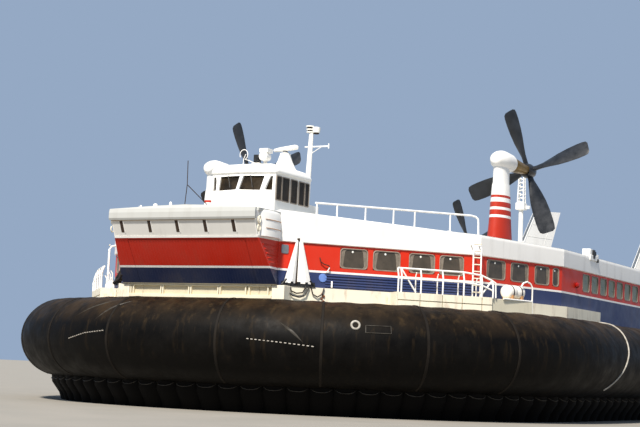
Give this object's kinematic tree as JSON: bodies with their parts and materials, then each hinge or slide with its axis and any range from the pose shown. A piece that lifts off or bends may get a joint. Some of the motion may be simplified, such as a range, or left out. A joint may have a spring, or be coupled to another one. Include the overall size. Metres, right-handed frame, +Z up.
{
  "type": "scale model car ferry hovercraft, 1:2",
  "caption": "Large car and passenger ferry hovercraft with an inflated skirt, swivelling propeller pylons, stern fins, bow and stern ramp doors and a control cabin on the roof",
  "frame": {"origin": "on the ground under the middle of the skirt, which stands on it", "axes": "+X towards the bow, +Y to port, +Z up"},
  "size_m": [28.1891, 14.0196, 7.4867],
  "materials": {
    "white_paint": "satin",
    "red_paint": "satin",
    "deck_paint": "matt",
    "skirt_rubber": "matt",
    "blade_black": "satin",
    "window_glass": "clear",
    "engine_metal": "satin"
  },
  "bodies": {
    "craft": {"buoyancy_hull": "deck_paint", "skirt_bag": "skirt_rubber", "skirt_fingers": "skirt_rubber", "wall_flare_port": "white_paint", "wall_flare_starboard": "white_paint", "wall_shoulder_port": "white_paint", "wall_shoulder_starboard": "white_paint", "wall_side_port": "white_paint", "wall_side_starboard": "white_paint", "bow_portal": "white_paint", "stern_wall": "white_paint", "car_deck_wall_port": "white_paint", "car_deck_wall_starboard": "white_paint", "roof_bow": "white_paint", "roof_middle": "white_paint", "roof_stern": "white_paint", "control_cabin": "white_paint", "cabin_roof": "white_paint", "signal_mast": "white_paint", "tall_mast": "white_paint", "roof_rail_port": "white_paint", "roof_rail_starboard": "white_paint", "coaming_port": "white_paint", "coaming_starboard": "white_paint", "bow_posts_port": "white_paint", "bow_posts_starboard": "white_paint", "side_gangway_port": "white_paint", "side_gangway_starboard": "white_paint", "engine_block_port": "engine_metal", "engine_block_starboard": "engine_metal", "window_glass_port": "window_glass", "window_glass_starboard": "window_glass", "control_cabin_glass": "window_glass"},
    "bow_ramp": {"bow_ramp_door": "red_paint"},
    "stern_ramp": {"stern_ramp_door": "white_paint"},
    "pylon_bow_port": {"pylon_bow_port": "white_paint"},
    "propeller_bow_port": {"propeller_bow_port": "blade_black"},
    "pylon_bow_starboard": {"pylon_bow_starboard": "white_paint"},
    "propeller_bow_starboard": {"propeller_bow_starboard": "blade_black"},
    "pylon_stern_port": {"pylon_stern_port": "white_paint"},
    "propeller_stern_port": {"propeller_stern_port": "blade_black"},
    "pylon_stern_starboard": {"pylon_stern_starboard": "white_paint"},
    "propeller_stern_starboard": {"propeller_stern_starboard": "blade_black"},
    "fin_port": {"fin_port": "white_paint"},
    "fin_starboard": {"fin_starboard": "white_paint"},
    "radar": {"radar_scanner": "white_paint"}
  },
  "joints": [
    {"name": "bow_ramp_hinge", "type": "hinge", "parent": "craft", "child": "bow_ramp", "pos_m": [12.581, 0, 2.3], "axis": [0, 1, 0], "range_deg": [0, 52]},
    {"name": "stern_ramp_hinge", "type": "hinge", "parent": "craft", "child": "stern_ramp", "pos_m": [-12.6, 0, 2.3], "axis": [0, -1, 0], "range_deg": [0, 90]},
    {"name": "pylon_bow_port_swivel", "type": "hinge", "parent": "craft", "child": "pylon_bow_port", "pos_m": [6.05, 3.945, 4], "axis": [0, 0, 1], "range_deg": [-35, 35]},
    {"name": "propeller_bow_port_spin", "type": "hinge", "parent": "pylon_bow_port", "child": "propeller_bow_port", "pos_m": [4.3, 3.945, 5.935], "axis": [1, 0, 0], "continuous": true},
    {"name": "pylon_bow_starboard_swivel", "type": "hinge", "parent": "craft", "child": "pylon_bow_starboard", "pos_m": [6.05, -3.945, 4], "axis": [0, 0, 1], "range_deg": [-35, 35]},
    {"name": "propeller_bow_starboard_spin", "type": "hinge", "parent": "pylon_bow_starboard", "child": "propeller_bow_starboard", "pos_m": [4.3, -3.945, 5.935], "axis": [1, 0, 0], "continuous": true},
    {"name": "pylon_stern_port_swivel", "type": "hinge", "parent": "craft", "child": "pylon_stern_port", "pos_m": [-9, 3.945, 4], "axis": [0, 0, 1], "range_deg": [-35, 35]},
    {"name": "propeller_stern_port_spin", "type": "hinge", "parent": "pylon_stern_port", "child": "propeller_stern_port", "pos_m": [-10.75, 3.945, 5.65], "axis": [1, 0, 0], "continuous": true},
    {"name": "pylon_stern_starboard_swivel", "type": "hinge", "parent": "craft", "child": "pylon_stern_starboard", "pos_m": [-9, -3.945, 4], "axis": [0, 0, 1], "range_deg": [-35, 35]},
    {"name": "propeller_stern_starboard_spin", "type": "hinge", "parent": "pylon_stern_starboard", "child": "propeller_stern_starboard", "pos_m": [-10.75, -3.945, 5.65], "axis": [1, 0, 0], "continuous": true},
    {"name": "fin_port_post", "type": "hinge", "parent": "craft", "child": "fin_port", "pos_m": [-12.4, 2.2, 4.1], "axis": [0, 0, 1], "range_deg": [-10, 50]},
    {"name": "fin_starboard_post", "type": "hinge", "parent": "craft", "child": "fin_starboard", "pos_m": [-12.4, -2.2, 4.1], "axis": [0, 0, 1], "range_deg": [-10, 50]},
    {"name": "radar_spin", "type": "hinge", "parent": "craft", "child": "radar", "pos_m": [9.775, 0.26, 5.775], "axis": [0, 0, 1], "continuous": true}
  ],
  "couplings": [
    {"joint": "fin_starboard_post", "follows": "fin_port_post", "ratio": 1}
  ]
}
